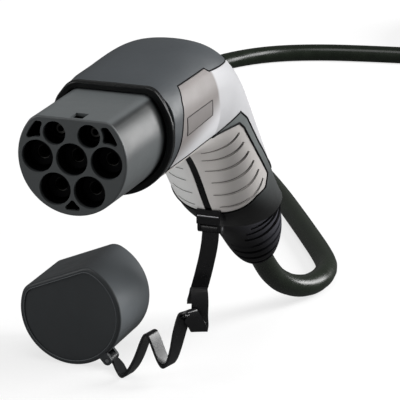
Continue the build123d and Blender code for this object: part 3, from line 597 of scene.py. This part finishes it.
class CONNECTOR_OT_contacts(bpy.types.Operator):
    """Finishes the contact sockets with their insulating tips, the ferrules, the screws and the pins"""
    bl_idname = "connector.contacts"
    bl_label = "Contacts"

    def execute(self, context):
        colours = context.scene.connector_colours
        # Painted shade: the silver is darkened far below real silver, as it looks deep in the shaded wells
        silver = plated("silver_plating_in_painted_shade", (0.16, 0.16, 0.15), 0.45)
        contacts = [name for name in NODES if name.startswith("contact_") and name != "contact_retainer"]
        paint(silver, *contacts, "core_ferrules")
        zinc = plated("zinc_steel", (0.55, 0.56, 0.58), 0.35, 1300.0)
        paint(zinc, "housing_screws", "clamp_screws", "clip_pin", "cap_pin")
        tips = bmesh.new()
        for name in contacts:
            low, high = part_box(name)
            centre = Vector(((low[0] + high[0]) / 2, 0.0, (low[2] + high[2]) / 2))
            power = high[0] - low[0] > POWER_WIDTH
            bore = (POWER_BORE if power else SIGNAL_BORE) + TIP_BORE_GAP
            outer = (high[0] - low[0]) / 2
            front = low[1]
            profile = [
                (bore + TIP_BEVEL, front - TIP_PROUD), (outer, front - TIP_PROUD),
                (outer + TIP_WALL, front - TIP_SHOULDER), (outer + TIP_WALL, front + TIP_REACH),
                (outer + TIP_GAP, front + TIP_REACH), (outer + TIP_GAP, front - TIP_GAP),
                (bore, front - TIP_GAP), (bore, front - TIP_PROUD + TIP_BEVEL),
            ]
            ring = as_mesh(spun(profile, centre), "ring")
            tips.from_mesh(ring)
            bpy.data.meshes.remove(ring)
        plastic = moulded("tip_plastic", colours.seam, 0.7, specular=0.05)
        put(as_mesh(tips, "contact_tips"), "contact_tips", plastic, "root")
        return {"FINISHED"}


class CONNECTOR_OT_housing(bpy.types.Operator):
    """Finishes the hood, the side panels, the frame, the grip pads and the front strip, with painted light
    and shade
    """
    bl_idname = "connector.housing"
    bl_label = "Housing"

    def execute(self, context):
        colours = context.scene.connector_colours
        hood = moulded("hood_plastic", colours.hood, 0.46, grain=1500.0)
        # Painted shade: the hood darkens towards its bottom
        paint(graded(hood, ((0, 0, -1), -2.0, 30.0, shade(colours.hood, 0.75))), "hood")
        panel = moulded("panel_plastic", colours.panel, 0.42, mottle=0.02, grain=1700.0, specular=0.35)
        # Painted light: the lower part of the side panels is painted lighter, and the back, behind a crease,
        # near white where the light falls on it
        graded(
            panel,
            ((0, 0.25, -1), 20.0, 38.0, shade(colours.spine_and_painted_light, 1.42)),
            ((0, 0.971, 0.238), 106.5, 109.5, colours.spine_and_painted_light[:]),
        )
        paint(panel, "housing_left", "housing_right")
        band = moulded("frame_plastic", colours.frame, 0.42, specular=0.3)
        # Painted shade: the frame darkens towards its lower left and its bottom, and turns nearly black low
        # on the left and on its collar
        graded(
            band,
            ((-0.35, 0.45, -0.83), 100.0, 148.0, shade(colours.frame, 0.36)),
            ((-0.55, -0.25, -0.80), -12.0, 5.0, shade(colours.frame, 0.03)),
        )
        paint(band, "frame_left", "frame_right")
        pads = moulded("grip_rubber", colours.grip, 0.55, mottle=0.04, specular=0.3)
        # Painted light and shade: the pads are painted lighter towards the left and darker towards the right
        graded(
            pads,
            ((-1, 0, 0), -8.0, 12.0, (0.86, 0.86, 0.85)),
            ((1, 0.3, 0), 54.0, 66.0, shade(colours.grip, 0.66)),
        )
        paint(pads, "grip_left", "grip_right")
        paint(moulded("strip_plastic", colours.seam, 0.3, specular=0.35), "front_strip")
        return {"FINISHED"}


class CONNECTOR_OT_seams(bpy.types.Operator):
    """Adds the dark seams where the shells of the housing meet"""
    bl_idname = "connector.seams"
    bl_label = "Seams"

    def execute(self, context):
        dark = moulded("seam_shadow", context.scene.connector_colours.seam, 0.7, specular=0.1)
        shells = [
            "hood", "housing_left", "housing_right", "frame_left", "frame_right",
            "grip_left", "grip_right", "front_strip",
        ]
        outside = Skin(*shells)
        for name, radius, meetings in SEAMS:
            lines = []
            for node, *neighbours in meetings:
                lines += rims(node, neighbours, outside)
            tubes(name, lines, radius, dark, "root")
        return {"FINISHED"}


class CONNECTOR_OT_grip_details(bpy.types.Operator):
    """Adds dark beads of painted shade along the finger grooves and the slots round the bend relief"""
    bl_idname = "connector.grip_details"
    bl_label = "Grooves and slots"

    def execute(self, context):
        colours = context.scene.connector_colours
        lines = []
        for side in (-1, 1):
            skin = Skin("grip_right" if side > 0 else "grip_left")
            for count in range(GROOVES):
                share = count / (GROOVES - 1)
                back, front = (
                    Vector(first).lerp(Vector(last), share) for first, last in zip(GROOVE_FIRST, GROOVE_LAST))
                bend = (back + front) / 2 + Vector(GROOVE_BOW)
                line = []
                for step in range(GROOVE_STEPS + 1):
                    part = GROOVE_END + (1.0 - 2.0 * GROOVE_END) * step / GROOVE_STEPS
                    spot = back.lerp(bend, part).lerp(bend.lerp(front, part), part) * MM
                    found, normal = skin.under((side * CLEAR, spot.x, spot.y), (-side, 0.0, 0.0))
                    if found and found.x * side > GROOVE_MIDDLE:
                        line.append(found + normal * GROOVE_LIFT)
                lines.append(line)
        # Painted shade: dark beads lie in the grooves, widest at their back ends and thinning towards the
        # front
        groove_shade_finish = moulded("groove_shadow", shade(colours.grip, 0.07), 0.8, specular=0.1)

        def fading(share):
            return max(0.10, 1.0 - 2.0 * share)

        tubes("groove_painted_shade", lines, GROOVE_BEAD_R, groove_shade_finish, "root", fading)

        skin = Skin("bend_relief", "frame_left", "frame_right")
        axis = exit_direction()
        ahead = Vector((0.0, axis.z, -axis.y))
        lines = []
        for back_from_exit, start, end in RELIEF_SLOTS:
            centre = EXIT - axis * (back_from_exit * MM) - ahead * (RELIEF_LIFT * MM)
            line = []
            for step in range(RELIEF_STEPS + 1):
                angle = math.radians(start + (end - start) * step / RELIEF_STEPS)
                spoke = Vector((1.0, 0.0, 0.0)) * math.cos(angle) + ahead * math.sin(angle)
                found, _ = skin.under(centre + spoke * CLEAR, -spoke)
                if found:
                    line.append(found)
            lines.append(line)
        # Painted shade: dark beads where slots run round the relief, laid on the frame's collar too
        slots = moulded("slot_shadow", colours.seam, 0.8, specular=0.05)
        tubes("relief_slot_shade", lines, RELIEF_BEAD_R, slots, "root", lambda share: min(1.0, 1.4 - share))
        return {"FINISHED"}


class CONNECTOR_OT_plate(bpy.types.Operator):
    """Adds the bare plate on the right side panel"""
    bl_idname = "connector.plate"
    bl_label = "Side plate"

    def execute(self, context):
        colours = context.scene.connector_colours
        skin = Skin("housing_right")
        corners = [Vector(corner) for corner in PLATE]
        along, up = PLATE_STEPS
        top, under = [], []
        for row in range(up + 1):
            for column in range(along + 1):
                low = corners[0].lerp(corners[1], column / along)
                high = corners[3].lerp(corners[2], column / along)
                spot = low.lerp(high, row / up) * MM
                found, normal = skin.under((CLEAR, spot.x, spot.y), (-1.0, 0.0, 0.0))
                top.append(found + normal * PLATE_PROUD)
                under.append(found - normal * PLATE_SUNK)
        work = bmesh.new()
        upper = [work.verts.new(point) for point in top]
        lower = [work.verts.new(point) for point in under]

        def at(row, column):
            return row * (along + 1) + column

        for row in range(up):
            for column in range(along):
                ring = [at(row, column), at(row, column + 1), at(row + 1, column + 1), at(row + 1, column)]
                work.faces.new([upper[i] for i in ring])
                work.faces.new([lower[i] for i in reversed(ring)])
        border = [at(0, c) for c in range(along)] + [at(r, along) for r in range(up)]
        border += [at(up, c) for c in range(along, 0, -1)] + [at(r, 0) for r in range(up, 0, -1)]
        for first, last in zip(border, border[1:] + border[:1]):
            work.faces.new([upper[first], lower[first], lower[last], upper[last]])
        bmesh.ops.recalc_face_normals(work, faces=work.faces)
        plastic = moulded("plate_plastic", shade(colours.panel, 0.80), 0.5)
        put(as_mesh(work, "side_plate"), "side_plate", plastic, "root")
        outline = [top[i] for i in border + border[:1]]
        dark = moulded("plate_edge", shade(colours.panel, 0.22), 0.6, specular=0.2)
        tubes("plate_outline", [outline], PLATE_EDGE_R, dark, "root")
        return {"FINISHED"}


class CONNECTOR_OT_cable_entry(bpy.types.Operator):
    """Finishes the bend relief with painted light, the cable's end, the cores and what is wired inside the
    handle
    """
    bl_idname = "connector.cable_entry"
    bl_label = "Cable entry"

    def execute(self, context):
        colours = context.scene.connector_colours
        relief = moulded("relief_rubber", colours.relief, 0.42, grain=1100.0, specular=0.14)
        # Painted light: the bend relief is painted much lighter towards its right and its top
        paint(graded(relief, ((1, 0, 0.3), -28.0, -6.0, shade(colours.relief, 13.0))), "bend_relief")
        paint(sheath_finish("sheath_end", colours.sheath), "cable_sheath_end")
        wires = {
            "wire_n": (0.03, 0.10, 0.42),
            "wire_l1": (0.16, 0.06, 0.025),
            "wire_l2": (0.015, 0.015, 0.015),
            "wire_l3": (0.25, 0.25, 0.25),
            "wire_cp": (0.60, 0.60, 0.57),
        }
        for name, colour in wires.items():
            paint(moulded(name + "_insulation", colour, 0.42), name)
        paint(striped_insulation("earth_insulation", (0.05, 0.30, 0.05), (0.75, 0.62, 0.03)), "wire_pe")
        paint(moulded("core_insulation", (0.02, 0.02, 0.02), 0.45), "cable_cores")
        paint(moulded("resistor_lacquer", (0.42, 0.30, 0.17), 0.35), "coding_resistor")
        return {"FINISHED"}


class CONNECTOR_OT_tether(bpy.types.Operator):
    """Finishes the dust cap with painted light and shade and a painted rim highlight, its strap and the clip
    that holds the strap
    """
    bl_idname = "connector.tether"
    bl_label = "Cap and tether"

    def execute(self, context):
        colours = context.scene.connector_colours
        cap = moulded("cap_rubber", colours.cap, 0.44, mottle=0.05, grain=1200.0, specular=0.4)
        # Painted light and shade: the cap's right side is painted lighter and its lower right darker; its
        # front face is set back to its own colour, a tenth darker as painted shade
        graded(
            cap,
            ((1, 0, 0), -72.0, -52.0, shade(colours.cap, 4.6)),
            ((0.3, 0, -1), 120.0, 148.0, shade(colours.cap, 0.5)),
            ((0, -1, 0), -174.5, -172.8, shade(colours.cap, 0.9)),
        )
        paint(cap, "cap")
        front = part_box("cap")[0][1]
        lines = sharp_edges("cap", lambda middle, faces: middle.y - front < RIM_DEPTH)
        # Painted highlight: a thin bead, lighter than the cap, round the edge of its front
        tubes("cap_rim", lines, RIM_R, moulded("painted_rim_highlight", shade(colours.cap, 2.4), 0.35), "cap")
        paint(moulded("strap_rubber", colours.strap, 0.30, specular=0.6, grain_depth=0.00002), "tether_strap")
        paint(moulded("clip_plastic", colours.strap, 0.4, specular=0.3), "tether_clip")
        low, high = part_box("tether_clip")
        reach = (high[0] - low[0]) / 2 - BAR_R
        bar = [
            Vector((side * reach / BAR_STEPS, low[1] + BAR_SUNK, high[2] - BAR_DROP))
            for side in range(-BAR_STEPS, BAR_STEPS + 1)]
        steel = plated("bar_steel", (0.42, 0.42, 0.44), 0.3, 1300.0)
        tubes("clip_bar", [bar], BAR_R, steel, "root")
        return {"FINISHED"}


def exit_direction():
    """The way in which the cable leaves the bend relief."""
    return Vector((0.0, math.cos(EXIT_SLOPE), -math.sin(EXIT_SLOPE)))


def free_route(diameter):
    """The cable's points from the exit to where it meets the coil."""
    lying = FLOOR_Z + diameter / 2
    points = [EXIT.copy(), EXIT + exit_direction() * FIRST_RUN]
    for x, y, z in ROUTE:
        points.append(Vector((x, y, lying if z is None else z)))
    return points


def eased(value, window):
    """A share that goes smoothly from 0 to 1 as a value crosses a window."""
    share = min(1.0, max(0.0, (value - window[0]) / (window[1] - window[0])))
    return share * share * (3.0 - 2.0 * share)


def wound(points, diameter):
    """The coil's turns, up the outer column and down the inner column, and then the tail's bend."""
    last, before = points[-1], points[-2]
    along = (last - before).normalized()
    outer = COIL_D / 2 + diameter / 2
    inner = COIL_D / 2 - diameter / 2
    centre = last + Vector((-along.y, along.x, 0.0)) * outer
    start = math.degrees(math.atan2(last.y - centre.y, last.x - centre.x))
    low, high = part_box("cable_coil")
    layers = round((high[2] - low[2]) / diameter)
    top = layers - 1
    final = 720.0 * top + (TAIL_ANGLE - start) % 360.0
    turns = []
    turned = 360.0 / COIL_STEPS
    while turned < final:
        level = 0.0
        for turn in range(top):
            level += eased(turned - 360.0 * turn, RISE)
            level -= eased(turned - 360.0 * (layers + turn), FALL)
        radius = outer - diameter * eased(turned - 360.0 * top, INWARD)
        angle = math.radians(start + turned)
        height = FLOOR_Z + diameter * (0.5 + level)
        x, y = centre.x + radius * math.cos(angle), centre.y + radius * math.sin(angle)
        turns.append(Vector((x, y, height)))
        turned += 360.0 / COIL_STEPS
    bend = Vector((centre.x, centre.y, FLOOR_Z + diameter / 2))
    angle = math.radians(TAIL_ANGLE)
    bend += Vector((math.cos(angle), math.sin(angle), 0.0)) * (inner - TAIL_R)
    tail = []
    turned = 0.0
    while turned <= TAIL_TO:
        angle = math.radians(TAIL_ANGLE + turned)
        tail.append(bend + Vector((TAIL_R * math.cos(angle), TAIL_R * math.sin(angle), 0.0)))
        turned += TAIL_STEP
    return turns + tail


class CONNECTOR_OT_cable(bpy.types.Operator):
    """Lays the cable along the floor, winds its spare length and ties it"""
    bl_idname = "connector.cable"
    bl_label = "Cable"

    def execute(self, context):
        sizes = context.scene.connector_sizes
        colours = context.scene.connector_colours
        points = free_route(sizes.cable_diameter)
        points += wound(points, sizes.cable_diameter)
        curve = bpy.data.curves.new("cable", "CURVE")
        curve.dimensions = "3D"
        curve.bevel_depth = sizes.cable_diameter / 2
        curve.bevel_resolution = sizes.cable_sides
        curve.resolution_u = 6
        curve.use_fill_caps = True
        spline = curve.splines.new("NURBS")
        spline.points.add(len(points) - 1)
        for target, point in zip(spline.points, points):
            target.co = (*point, 1.0)
        spline.order_u = 3
        spline.use_endpoint_u = True
        cable = bpy.data.objects.new("cable", curve)
        context.scene.collection.objects.link(cable)
        curve.materials.append(sheath_finish("cable_sheath", colours.sheath))
        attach(cable, "root")
        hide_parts("cable_tube", "cable_coil", "cable_tail")
        paint(woven_tape("tie_tape", (0.012, 0.012, 0.013)), "coil_tie")
        return {"FINISHED"}


# ---------------------------------------------------------------- stage
def floor_finish(colour):
    """Pale floor that the camera sees nearly white, with the object's shadow on it."""
    material = bpy.data.materials.new("floor")
    material.use_nodes = True
    tree = material.node_tree
    tree.nodes.clear()
    rays = wired(tree, "ShaderNodeLightPath").outputs
    place = wired(tree, "ShaderNodeTexCoord").outputs["Object"]
    away = wired(tree, "ShaderNodeVectorMath", place, operation="LENGTH").outputs["Value"]
    starts, ends = zip(FLOOR_NEAR, FLOOR_FAR)
    level = wired(tree, "ShaderNodeMapRange", away, *starts, *ends).outputs["Result"]
    strength = wired(
        tree, "ShaderNodeMath", rays["Is Camera Ray"], level, FLOOR_GLOW, operation="MULTIPLY_ADD").outputs[0]
    mirrored = wired(
        tree, "ShaderNodeMath", rays["Is Glossy Ray"], FLOOR_MIRRORED, operation="MULTIPLY").outputs[0]
    share = wired(
        tree, "ShaderNodeMath", rays["Is Camera Ray"], FLOOR_SEEN, mirrored,
        operation="MULTIPLY_ADD").outputs[0]
    matt = wired(tree, "ShaderNodeBsdfDiffuse", (*colour, 1.0)).outputs[0]
    glow = wired(tree, "ShaderNodeEmission", WHITE, strength).outputs[0]
    blend = wired(tree, "ShaderNodeMixShader", share, matt, glow).outputs[0]
    wired(tree, "ShaderNodeOutputMaterial", blend)
    return material


def soft_box(name, place, target, size, power):
    """A soft rectangular lamp that faces a target."""
    lamp = bpy.data.lights.new(name, "AREA")
    lamp.shape = "RECTANGLE"
    lamp.size, lamp.size_y = size
    lamp.energy = power
    made = bpy.data.objects.new(name, lamp)
    made.location = place
    away = Vector(place) - Vector(target)
    made.rotation_euler = away.to_track_quat("Z", "Y").to_euler()
    bpy.context.scene.collection.objects.link(made)


class CONNECTOR_OT_stage(bpy.types.Operator):
    """Adds the pale floor, the soft lights and the camera"""
    bl_idname = "connector.stage"
    bl_label = "Stage"

    def execute(self, context):
        scene = context.scene
        stage = scene.connector_stage
        sheet = bmesh.new()
        bmesh.ops.create_grid(sheet, x_segments=1, y_segments=1, size=FLOOR_HALF)
        bmesh.ops.translate(sheet, vec=(0.0, 0.0, FLOOR_Z - FLOOR_DROP), verts=sheet.verts)
        mesh = as_mesh(sheet, "floor")
        mesh.materials.append(floor_finish(scene.connector_colours.floor))
        floor = bpy.data.objects.new("floor", mesh)
        scene.collection.objects.link(floor)

        world = bpy.data.worlds.new("room")
        world.use_nodes = True
        scene.world = world
        tree = world.node_tree
        plain = tree.nodes["Background"]
        plain.inputs["Color"].default_value = WHITE
        seen = wired(tree, "ShaderNodeLightPath").outputs["Is Camera Ray"]
        level = wired(tree, "ShaderNodeMapRange", seen, 0.0, 1.0, ROOM_LEVEL, 1.0)
        tree.links.new(level.outputs["Result"], plain.inputs["Strength"])

        middle = (0.0, 0.12, -0.06)
        soft_box("right_rear_box", (1.00, 0.60, 0.75), middle, (0.7, 0.9), 19.0)
        soft_box("low_rear_box", (0.75, 1.05, 0.10), (0.0, 0.32, -0.16), (0.35, 0.5), 6.0)
        soft_box("top_box", (0.0, -0.1, 1.3), middle, (0.9, 0.9), 6.0)
        soft_box("left_front_box", (-0.9, -0.9, 0.5), middle, (0.6, 0.9), 7.0)

        camera = bpy.data.cameras.new("camera")
        camera.lens = stage.lens
        camera.sensor_width = 36.0
        camera.clip_start = 0.01
        turn, rise = stage.azimuth, stage.elevation
        back = Vector((math.sin(turn) * math.cos(rise), -math.cos(turn) * math.cos(rise), math.sin(rise)))
        right = Vector((math.cos(turn), math.sin(turn), 0.0))
        up = back.cross(right)
        pose = Matrix((right, up, back)).transposed().to_4x4()
        pose.translation = stage.place
        viewer = bpy.data.objects.new("camera", camera)
        viewer.matrix_world = pose
        scene.collection.objects.link(viewer)
        scene.camera = viewer
        scene.view_settings.view_transform = "Standard"
        return {"FINISHED"}


# ---------------------------------------------------------------- panel and registration
class CONNECTOR_PT_panel(bpy.types.Panel):
    """Lists the connector's pieces"""
    bl_idname = "CONNECTOR_PT_panel"
    bl_label = "Charging connector"
    bl_space_type = "VIEW_3D"
    bl_region_type = "UI"
    bl_category = "Connector"

    def draw(self, context):
        scene = context.scene
        for group in (scene.connector_colours, scene.connector_sizes, scene.connector_stage):
            box = self.layout.box()
            for name in group.__annotations__:
                box.prop(group, name)
        for piece in OPERATORS:
            self.layout.operator(piece.bl_idname)


SETTINGS = {
    "connector_colours": ConnectorColours,
    "connector_sizes": ConnectorSizes,
    "connector_stage": StageSettings,
}
OPERATORS = (
    CONNECTOR_OT_cable,
    CONNECTOR_OT_nose,
    CONNECTOR_OT_contacts,
    CONNECTOR_OT_housing,
    CONNECTOR_OT_seams,
    CONNECTOR_OT_grip_details,
    CONNECTOR_OT_plate,
    CONNECTOR_OT_cable_entry,
    CONNECTOR_OT_tether,
    CONNECTOR_OT_stage,
)


def register():
    for name, group in SETTINGS.items():
        bpy.utils.register_class(group)
        setattr(bpy.types.Scene, name, PointerProperty(type=group))
    for piece in OPERATORS:
        bpy.utils.register_class(piece)
    bpy.utils.register_class(CONNECTOR_PT_panel)


def unregister():
    bpy.utils.unregister_class(CONNECTOR_PT_panel)
    for piece in reversed(OPERATORS):
        bpy.utils.unregister_class(piece)
    for name, group in reversed(SETTINGS.items()):
        delattr(bpy.types.Scene, name)
        bpy.utils.unregister_class(group)


def main():
    register()
    for piece in OPERATORS:
        group, name = piece.bl_idname.split(".")
        getattr(getattr(bpy.ops, group), name)()


if __name__ == "__main__":
    main()
